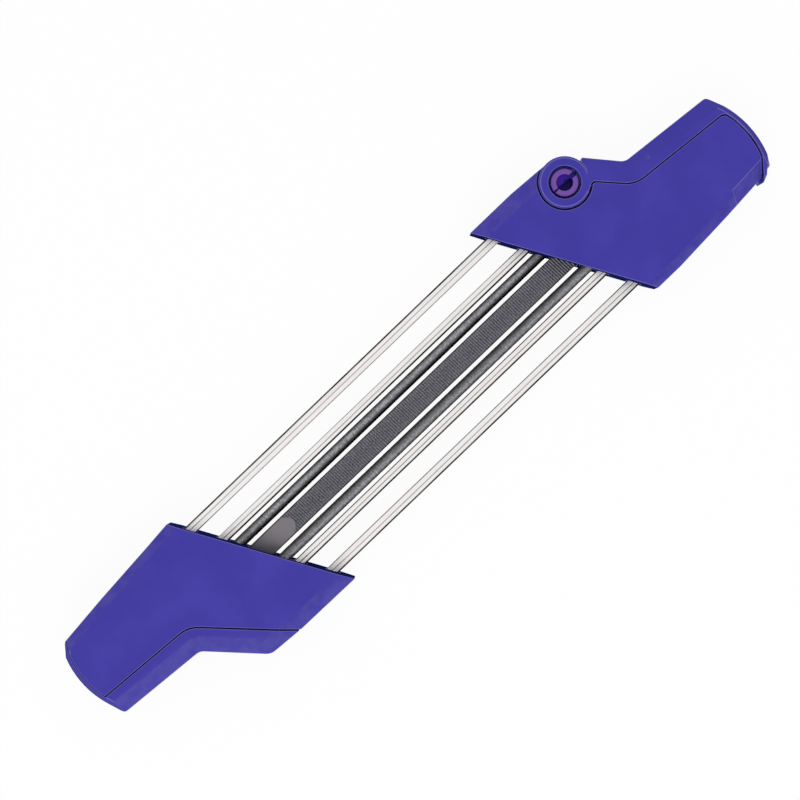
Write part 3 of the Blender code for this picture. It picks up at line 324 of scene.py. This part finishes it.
bright = Finish("bright drawn steel", STEEL, STEEL_ROUGHNESS, ALL_METAL)
lines = bright.noise(DRAW_LINE, layers=3, stretch=DRAW_STRETCH)
y = bright.axes()[1]
shaded_edges = {"outer_rail_upper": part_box("outer_rail_upper")[1].y,
              "outer_rail_lower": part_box("outer_rail_lower")[0].y,
              "guide_bar_upper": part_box("guide_bar_upper")[0].y,
              "guide_bar_lower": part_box("guide_bar_lower")[0].y}
edge_shade_strength = bright.noise(EDGE_SHADE_BREAK_SIZE, layers=3).between(*EDGE_SHADE_BREAK_RANGE) * (1 - EDGE_SHADE_KEPT) + EDGE_SHADE_KEPT
# A nearly black strip of painted shade along one edge of each bar, broken up by noise except on the upper
# guide bar.
edge_shade = 0.0
for node, edge_y in shaded_edges.items():
    strip = (y - edge_y).math("ABSOLUTE").between(EDGE_SHADE_WIDTH, EDGE_SHADE_WIDTH * EDGE_SHADE_CORE)
    edge_shade = strip * (1.0 if node == "guide_bar_upper" else edge_shade_strength) + edge_shade
steel_colour = bright.blend(lines.between(*DRAW_LINE_RANGE), STEEL, STEEL_DULL)
bright.feed("Base Color", bright.blend(edge_shade, steel_colour, BAR_EDGE_SHADE))
bright.feed("Roughness", STEEL_ROUGHNESS + lines * STEEL_ROUGHNESS_SPREAD)
bright.bump(lines, DRAW_LINE_DEPTH)

# The bars' side faces are painted a darker, streaked steel, which is painted shade.
side_shade_steel = Finish("painted shade on steel side", BAR_SIDE_SHADE, SHEARED_ROUGHNESS, ALL_METAL)
lines = side_shade_steel.noise(DRAW_LINE, layers=3, stretch=DRAW_STRETCH)
side_shade_steel.feed("Base Color", side_shade_steel.blend(lines, BAR_SIDE_SHADE, BAR_SIDE_SHADE_DEEP))

# The steel of the dark edge strip is painted shade.
edge_shade_steel = Finish("painted shade on steel edge", BAR_EDGE_SHADE, EDGE_SHADE_ROUGHNESS, EDGE_SHADE_METALLIC)
lines = edge_shade_steel.noise(DRAW_LINE, layers=3, stretch=DRAW_STRETCH)
edge_shade_steel.feed("Roughness", EDGE_SHADE_ROUGHNESS + lines * EDGE_SHADE_ROUGHNESS_SPREAD)

for node, edge_y in shaded_edges.items():
    bar = softened(node, BAR_EDGE, bright, "frame")
    bar.data.materials.append(side_shade_steel.material)
    bar.data.materials.append(edge_shade_steel.material)
    low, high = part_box(node)
    for face in bar.data.polygons:
        if abs(face.normal.y) > SIDEWAYS_FACING:
            at_edge_shade = abs(face.center.y - edge_y) < (high.y - low.y) / 4
            face.material_index = 2 if at_edge_shade and abs(face.normal.y) < SHEARED_FACING else 1

# Two round files, 4.8 mm across, are hardened carbon steel, nearly black in the cuts. Painted shade darkens
# the side next to the flat file and the outer rim, and on the upper file painted light brightens the rest.
# Their short fine teeth stand in long strips that wind slowly round the rod, so the light breaks up in long
# slanting lines.
ROUND_STRIPS = 12
STRIP_CORNERS = 3
ROUND_RADIUS = 2.4 * MM
STRIP_DEPTH = 0.06 * MM
STRIP_TURNS = 3.5
ROUND_RINGS = 210
RING_WELD = 0.001 * MM
TOOTH_PITCH = 0.62 * MM
TOOTH_DEPTH = 0.05 * MM
TOOTH_SLANT = 0.8
TOOTH_STRENGTH = 0.6
TOOTH_SHARE = 0.35
FILE_DARK = (0.006, 0.006, 0.007, 1.0)
FILE_LIGHT = (0.620, 0.615, 0.650, 1.0)
FILE_METALLIC = 0.15
FILE_ROUGHNESS = 0.34
FILE_ROUGHNESS_SPREAD = 0.2
FILE_WEAR_SIZE = 3.0 * MM
FILE_WEAR_SHARE = 0.35
FILE_SPECKLE = 0.9 * MM
FILE_SPECKLE_RANGE = (0.35, 0.75)
FILE_SPECKLE_SHARE = 0.3
UPPER_SHADE_RAMP = (-0.85, 0.15)
LOWER_SHADE_RAMP = (-1.2, 0.7)
OUTER_RIM_SHADE_RAMP = (1.05, 0.25)
OILED_RIM = (0.03, 0.03, 0.03, 1.0)
UPPER_PAINTED_LIGHT = 1.45
LOWER_PAINTED_LIGHT = 1.0

for node, body, shaded_side, painted_light in (("round_file_upper", "round_file_a", UPPER_SHADE_RAMP, UPPER_PAINTED_LIGHT),
                                 ("round_file_lower", "round_file_b", LOWER_SHADE_RAMP, LOWER_PAINTED_LIGHT)):
    low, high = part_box(node)
    middle = (low + high) / 2
    length = high.x - low.x
    bpy.ops.object.select_all(action="DESELECT")
    bpy.ops.mesh.primitive_circle_add(vertices=ROUND_STRIPS * STRIP_CORNERS, radius=ROUND_RADIUS)
    rod = bpy.context.object
    rod.name = node + "_cut"
    for vertex in rod.data.vertices:
        if vertex.index % STRIP_CORNERS == 0:
            vertex.co *= 1 - STRIP_DEPTH / ROUND_RADIUS
    winding = rod.modifiers.new("winding strips", "SCREW")
    winding.axis = "Z"
    winding.angle = STRIP_TURNS * math.tau
    winding.screw_offset = length
    winding.steps = winding.render_steps = ROUND_RINGS
    winding.use_smooth_shade = False
    bpy.ops.object.modifier_apply(modifier=winding.name)
    bpy.ops.object.mode_set(mode="EDIT")
    bpy.ops.mesh.select_all(action="SELECT")
    bpy.ops.mesh.remove_doubles(threshold=RING_WELD)
    bpy.ops.mesh.select_all(action="DESELECT")
    bpy.ops.mesh.select_non_manifold()
    bpy.ops.mesh.edge_face_add()
    bpy.ops.mesh.select_all(action="SELECT")
    bpy.ops.mesh.normals_make_consistent(inside=False)
    bpy.ops.object.mode_set(mode="OBJECT")
    rod.rotation_euler = (0.0, math.pi / 2, 0.0)
    rod.location = (low.x, middle.y, middle.z)
    bpy.ops.object.transform_apply(location=True, rotation=True, scale=True)
    bpy.ops.object.shade_smooth_by_angle(angle=SMOOTH_ANGLE)

    cut_steel = Finish(node + " steel", FILE_DARK, FILE_ROUGHNESS, FILE_METALLIC)
    x, y, z = cut_steel.axes()
    angle = (z - middle.z).math("ARCTAN2", y - middle.y)
    turn = angle * (ROUND_STRIPS / math.tau) + x * (ROUND_STRIPS * STRIP_TURNS / length)
    strip = turn.math("FRACT")
    tooth = (x / TOOTH_PITCH + strip * TOOTH_SLANT).math("FRACT")
    worn = cut_steel.noise(FILE_WEAR_SIZE, layers=4)
    speckle = cut_steel.noise(FILE_SPECKLE, layers=3).between(*FILE_SPECKLE_RANGE)
    # Painted shade on the side next to the flat file and at the outer rim, and painted light scaled up on the
    # upper file.
    outwards = (y - middle.y) / math.copysign(ROUND_RADIUS, middle.y)
    painted_light_and_shade = outwards.between(*shaded_side) * outwards.between(*OUTER_RIM_SHADE_RAMP) * painted_light
    shine = tooth * TOOTH_SHARE + worn * FILE_WEAR_SHARE + speckle * FILE_SPECKLE_SHARE
    cut_steel.feed("Base Color", cut_steel.blend(shine * painted_light_and_shade, FILE_DARK, FILE_LIGHT))
    cut_steel.feed("Roughness", FILE_ROUGHNESS + worn * FILE_ROUGHNESS_SPREAD)
    cut_steel.feed("Specular Tint", OILED_RIM)
    cut_steel.feed("Specular IOR Level", NO_SHINE)
    cut_steel.bump(tooth, TOOTH_DEPTH, TOOTH_STRENGTH)
    rod.data.materials.append(cut_steel.material)
    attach(rod, body)
    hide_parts(node)

# The flat file in the middle lowers the depth gauges. It is the same hardened steel, with a row of straight
# teeth, cut nearly square across, on each broad face. The rows stop at a round-ended bare patch near the
# fixed handle, which is darkened next to the plastic by mottled painted shade. The toothed faces are darker
# towards the middle of their width, and a dark line of painted shade runs along both long edges.
ROW_PITCH = 1.08 * MM
ROW_SLANT = math.radians(-3.0)
ROW_DEPTH = 0.22 * MM
ROW_COLUMNS = 10
ROW_SHARE = 0.4
ROWS_START_X = -74.0 * MM
ROWS_BULGE = 4.0 * MM
ROWS_FADE = 0.2 * MM
SPARE_HALF_WIDTHS = 4
GRID_HALF_WIDTHS = 3
FACE_WELD = 0.01 * MM
FLAT_DARK = (0.018, 0.018, 0.024, 1.0)
FLAT_LIGHT = (0.235, 0.232, 0.265, 1.0)
FLAT_METALLIC = 0.85
FLAT_ROUGHNESS = 0.38
FLAT_ROUGHNESS_SPREAD = 0.18
FLAT_WEAR_SIZE = 6.0 * MM
FLAT_WEAR_SHARE = 0.2
FLAT_SPECKLE = 0.7 * MM
FLAT_SPECKLE_RANGE = (0.3, 0.7)
FLAT_SPECKLE_SHARE = 0.4
FLAT_MIDDLE_DARKENING = 0.12
FLAT_BARE = (0.190, 0.176, 0.192, 1.0)
FLAT_HANDLE_SHADE = (0.088, 0.084, 0.098, 1.0)
HANDLE_SHADE_START_X = -89.0 * MM
HANDLE_SHADE_END_X = -76.0 * MM
HANDLE_SHADE_LEAST = 0.6
HANDLE_SHADE_SPREAD = 0.8
FLAT_EDGE_SHADE = (0.020, 0.020, 0.022, 1.0)
EDGE_WIDTH = 0.45 * MM
EDGE_FADE = 0.2 * MM

low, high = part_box("flat_file")
middle = (low + high) / 2
half_width = (high.y - low.y) / 2
rows = 2 * math.ceil((high.x - low.x + SPARE_HALF_WIDTHS * half_width) / (2 * ROW_PITCH))
bpy.ops.object.select_all(action="DESELECT")
bpy.ops.mesh.primitive_grid_add(x_subdivisions=2 * rows, y_subdivisions=ROW_COLUMNS, size=1.0)
flat = bpy.context.object
flat.name = "flat_file_cut"
flat.scale = (rows * ROW_PITCH, GRID_HALF_WIDTHS * half_width, 1.0)
bpy.ops.object.transform_apply(location=False, rotation=False, scale=True)
slant = math.tan(ROW_SLANT)
for vertex in flat.data.vertices:
    crest = round((vertex.co.x + rows * ROW_PITCH / 2) / (ROW_PITCH / 2)) % 2
    vertex.co.x += slant * vertex.co.y + middle.x
    reach = ROWS_START_X + ROWS_BULGE * (1 - (vertex.co.y / half_width) ** 2)
    toothed = vertex.co.x > reach
    vertex.co.y += middle.y
    vertex.co.z = high.z - (0.0 if crest and toothed else ROW_DEPTH)
bpy.ops.object.mode_set(mode="EDIT")
for point, inward in (((low.x, 0, 0), (1, 0, 0)),
                      ((high.x, 0, 0), (-1, 0, 0)),
                      ((0, low.y, 0), (0, 1, 0)),
                      ((0, high.y, 0), (0, -1, 0))):
    bpy.ops.mesh.select_all(action="SELECT")
    bpy.ops.mesh.bisect(plane_co=point, plane_no=inward, clear_inner=True)
bpy.ops.mesh.select_all(action="DESELECT")
bpy.ops.mesh.select_non_manifold()
bpy.ops.mesh.extrude_region_move(TRANSFORM_OT_translate={"value": (0.0, 0.0, -ROW_DEPTH * 2)})
bpy.ops.transform.resize(value=(1.0, 1.0, 0.0), center_override=(0.0, 0.0, middle.z))
bpy.ops.object.mode_set(mode="OBJECT")
bpy.context.scene.cursor.location = middle
bpy.ops.object.origin_set(type="ORIGIN_CURSOR")
bpy.context.scene.cursor.location = (0.0, 0.0, 0.0)
mirror = flat.modifiers.new("both faces", "MIRROR")
mirror.use_axis = (False, False, True)
mirror.merge_threshold = FACE_WELD
bpy.ops.object.modifier_apply(modifier=mirror.name)
bpy.ops.object.transform_apply(location=True, rotation=True, scale=True)
bpy.ops.object.mode_set(mode="EDIT")
bpy.ops.mesh.select_all(action="SELECT")
bpy.ops.mesh.normals_make_consistent(inside=False)
bpy.ops.object.mode_set(mode="OBJECT")

flat_steel = Finish("flat file steel", FLAT_DARK, FLAT_ROUGHNESS, FLAT_METALLIC)
x, y = flat_steel.axes()[:2]
edge_reach = 1 - ((y - middle.y) / half_width).math("POWER", 2.0)
in_rows = (x - ROWS_START_X - edge_reach * ROWS_BULGE).between(-ROWS_FADE, ROWS_FADE)
row = ((x - (y - middle.y) * slant) / ROW_PITCH).math("FRACT")
worn = flat_steel.noise(FLAT_WEAR_SIZE, layers=4)
ridge = (row - 0.5).math("ABSOLUTE") * 2
speckle = flat_steel.noise(FLAT_SPECKLE, layers=3).between(*FLAT_SPECKLE_RANGE)
# The toothed faces are darker towards the middle of their width.
shine = ridge * ROW_SHARE + worn * FLAT_WEAR_SHARE + speckle * FLAT_SPECKLE_SHARE - edge_reach * FLAT_MIDDLE_DARKENING
cut_colour = flat_steel.blend(shine, FLAT_DARK, FLAT_LIGHT)
# Mottled painted shade darkens the bare patch next to the fixed handle.
from_handle = (x + y * math.tan(SLANT)).between(HANDLE_SHADE_END_X, HANDLE_SHADE_START_X)
handle_shade_mask = from_handle * (HANDLE_SHADE_LEAST + worn * HANDLE_SHADE_SPREAD)
bare_colour = flat_steel.blend(handle_shade_mask, FLAT_BARE, FLAT_HANDLE_SHADE)
face_colour = flat_steel.blend(in_rows, bare_colour, cut_colour)
# A dark line of painted shade runs along both long edges of the flat file.
aside = (y - middle.y).math("ABSOLUTE")
edge_line_shade = aside.between(half_width - EDGE_WIDTH - EDGE_FADE, half_width - EDGE_WIDTH + EDGE_FADE / 2)
flat_steel.feed("Base Color", flat_steel.blend(edge_line_shade, face_colour, FLAT_EDGE_SHADE))
flat_steel.feed("Roughness", FLAT_ROUGHNESS + worn * FLAT_ROUGHNESS_SPREAD)
flat.data.materials.append(flat_steel.material)
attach(flat, "frame")
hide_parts("flat_file")

# The release handle is the same blue nylon in two parts: the body with the hinge's knuckle, and a cover
# that swings out on two ears. A fine dark gap shows where the cover meets the body. The long chamfers on the
# body are painted a lighter blue in patches, which is painted light, and those on the cover are left the
# plain blue; the steep end slopes of both are matt and painted lighter too. The rounded edges carry a pale
# painted highlight, and the body's slanted face is painted a deep blue, which is painted shade.
release_body = softened("release_handle_body", BLUE_EDGE, blue, "frame", edge_painted_highlight)
shade_slanted_face(release_body, Vector((-math.cos(SLANT), -math.sin(SLANT), 0.0)))
release_cover = softened("release_cover", BLUE_EDGE, blue, "cover", edge_painted_highlight)
finish_slopes(release_body, slope_painted_light)
finish_slopes(release_cover, blue)

# The hinge pin is a hollow dark nylon pin pressed through the ears and the knuckle. Its slotted ends stand
# back inside the ears, and their rims are a lighter mauve.
PIN_DARK = (0.038, 0.022, 0.300, 1.0)
PIN_RIM_MAUVE = (0.172, 0.080, 0.355, 1.0)
PIN_STEP = (0.046, 0.009, 0.300, 1.0)
PIN_SHINE = 0.1
PIN_ROUGHNESS = 0.3
PIN_ROUGHNESS_SPREAD = 0.2
PIN_ROUGH_SIZE = 1.0 * MM
PIN_EDGE = 0.2 * MM
PIN_HOLLOW = 3.5 * MM
PIN_HOLLOW_FADE = 0.1 * MM
RIM_START_DEPTH = 0.6 * MM
RIM_FULL_DEPTH = 0.2 * MM
STEP_START_DEPTH = 2.6 * MM
STEP_FULL_DEPTH = 2.3 * MM

low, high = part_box("hinge_pin")
middle = (low + high) / 2
violet = Finish("dark violet pin", PIN_DARK, PIN_ROUGHNESS)
x, y, z = violet.axes()
height = (z - middle.z).math("ABSOLUTE")
half_height = (high.z - low.z) / 2
rim = height.between(half_height - RIM_START_DEPTH, half_height - RIM_FULL_DEPTH)
from_axis = ((x - middle.x) * (x - middle.x) + (y - middle.y) * (y - middle.y)).math("SQRT")
in_hollow = from_axis.between(PIN_HOLLOW + PIN_HOLLOW_FADE, PIN_HOLLOW - PIN_HOLLOW_FADE)
on_step = height.between(half_height - STEP_START_DEPTH, half_height - STEP_FULL_DEPTH)
inside = violet.blend(in_hollow * on_step, PIN_DARK, PIN_STEP)
violet.feed("Base Color", violet.blend(rim, inside, PIN_RIM_MAUVE))
violet.feed("Roughness", PIN_ROUGHNESS + violet.noise(PIN_ROUGH_SIZE) * PIN_ROUGHNESS_SPREAD)
violet.feed("Specular IOR Level", PIN_SHINE)
softened("hinge_pin", PIN_EDGE, violet, "frame")

# The tool lies on a plain white studio floor, under an even white sky with one broad soft lamp to its upper
# left. The camera looks straight down from under a metre, turned so that the rails climb to the right as
# photographed.
SENSOR = 36.0
VIEW_TURN = math.radians(43.8)
VIEW_DISTANCE = 0.9
OUTLINE_HEIGHT = 17.0 * MM
VIEW_WIDTH = 0.332
VIEW_SHIFT = (-5.2 * MM, 2.45 * MM)
EXPOSED_MIDDLE_X = -1.3 * MM
LAMP_PLACE = (-0.95, -1.0, 1.3)
LAMP_SIZE = 1.0
LAMP_POWER = 9.0
SKY_STRENGTH = 0.86
WHITE = (1.0, 1.0, 1.0, 1.0)
FLOOR_SIZE = 8.0
FLOOR_WHITE = (0.9, 0.9, 0.9, 1.0)
FLOOR_ROUGHNESS = 0.9
FLOOR_GLOW = 0.94
FARTHEST_SEEN = 20.0

bpy.ops.object.select_all(action="DESELECT")
bpy.ops.mesh.primitive_plane_add(size=FLOOR_SIZE)
floor = bpy.context.object
floor.name = "studio floor"
floor_finish = Finish("white floor", FLOOR_WHITE, FLOOR_ROUGHNESS)
glow = floor_finish.node("ShaderNodeEmission", sockets={"Color": WHITE, "Strength": 1.0})
matte = Signal(floor_finish, floor_finish.shader.outputs[0])
share = floor_finish.seen_directly() * FLOOR_GLOW
mixed = floor_finish.node("ShaderNodeMixShader", sockets={0: share, 1: matte, 2: glow})
floor_finish.join(floor_finish.tree.nodes["Material Output"].inputs["Surface"], mixed)
floor.data.materials.append(floor_finish.material)

middle = Vector((EXPOSED_MIDDLE_X, 0.0, VIEW_DISTANCE))
right = Vector((math.cos(VIEW_TURN), -math.sin(VIEW_TURN), 0.0))
up = Vector((math.sin(VIEW_TURN), math.cos(VIEW_TURN), 0.0))
bpy.ops.object.camera_add(location=middle + right * VIEW_SHIFT[0] + up * VIEW_SHIFT[1],
                          rotation=(0.0, 0.0, -VIEW_TURN))
camera = bpy.context.object
camera.data.sensor_width = SENSOR
camera.data.lens = SENSOR * (VIEW_DISTANCE - OUTLINE_HEIGHT) / VIEW_WIDTH
camera.data.clip_end = FARTHEST_SEEN
bpy.context.scene.camera = camera

bpy.ops.object.light_add(type="AREA", location=LAMP_PLACE)
lamp = bpy.context.object
lamp.data.shape = "DISK"
lamp.data.size = LAMP_SIZE
lamp.data.energy = LAMP_POWER
lamp.rotation_euler = Vector(LAMP_PLACE).to_track_quat("Z", "Y").to_euler()

world = bpy.data.worlds.new("white studio")
bpy.context.scene.world = world
world.use_nodes = True
sky = Nodes(world.node_tree)
background = world.node_tree.nodes["Background"]
sky.join(background.inputs["Strength"], SKY_STRENGTH + sky.seen_directly() * (1 - SKY_STRENGTH))
sky.join(background.inputs["Color"], WHITE)
bpy.context.scene.view_settings.view_transform = "Standard"
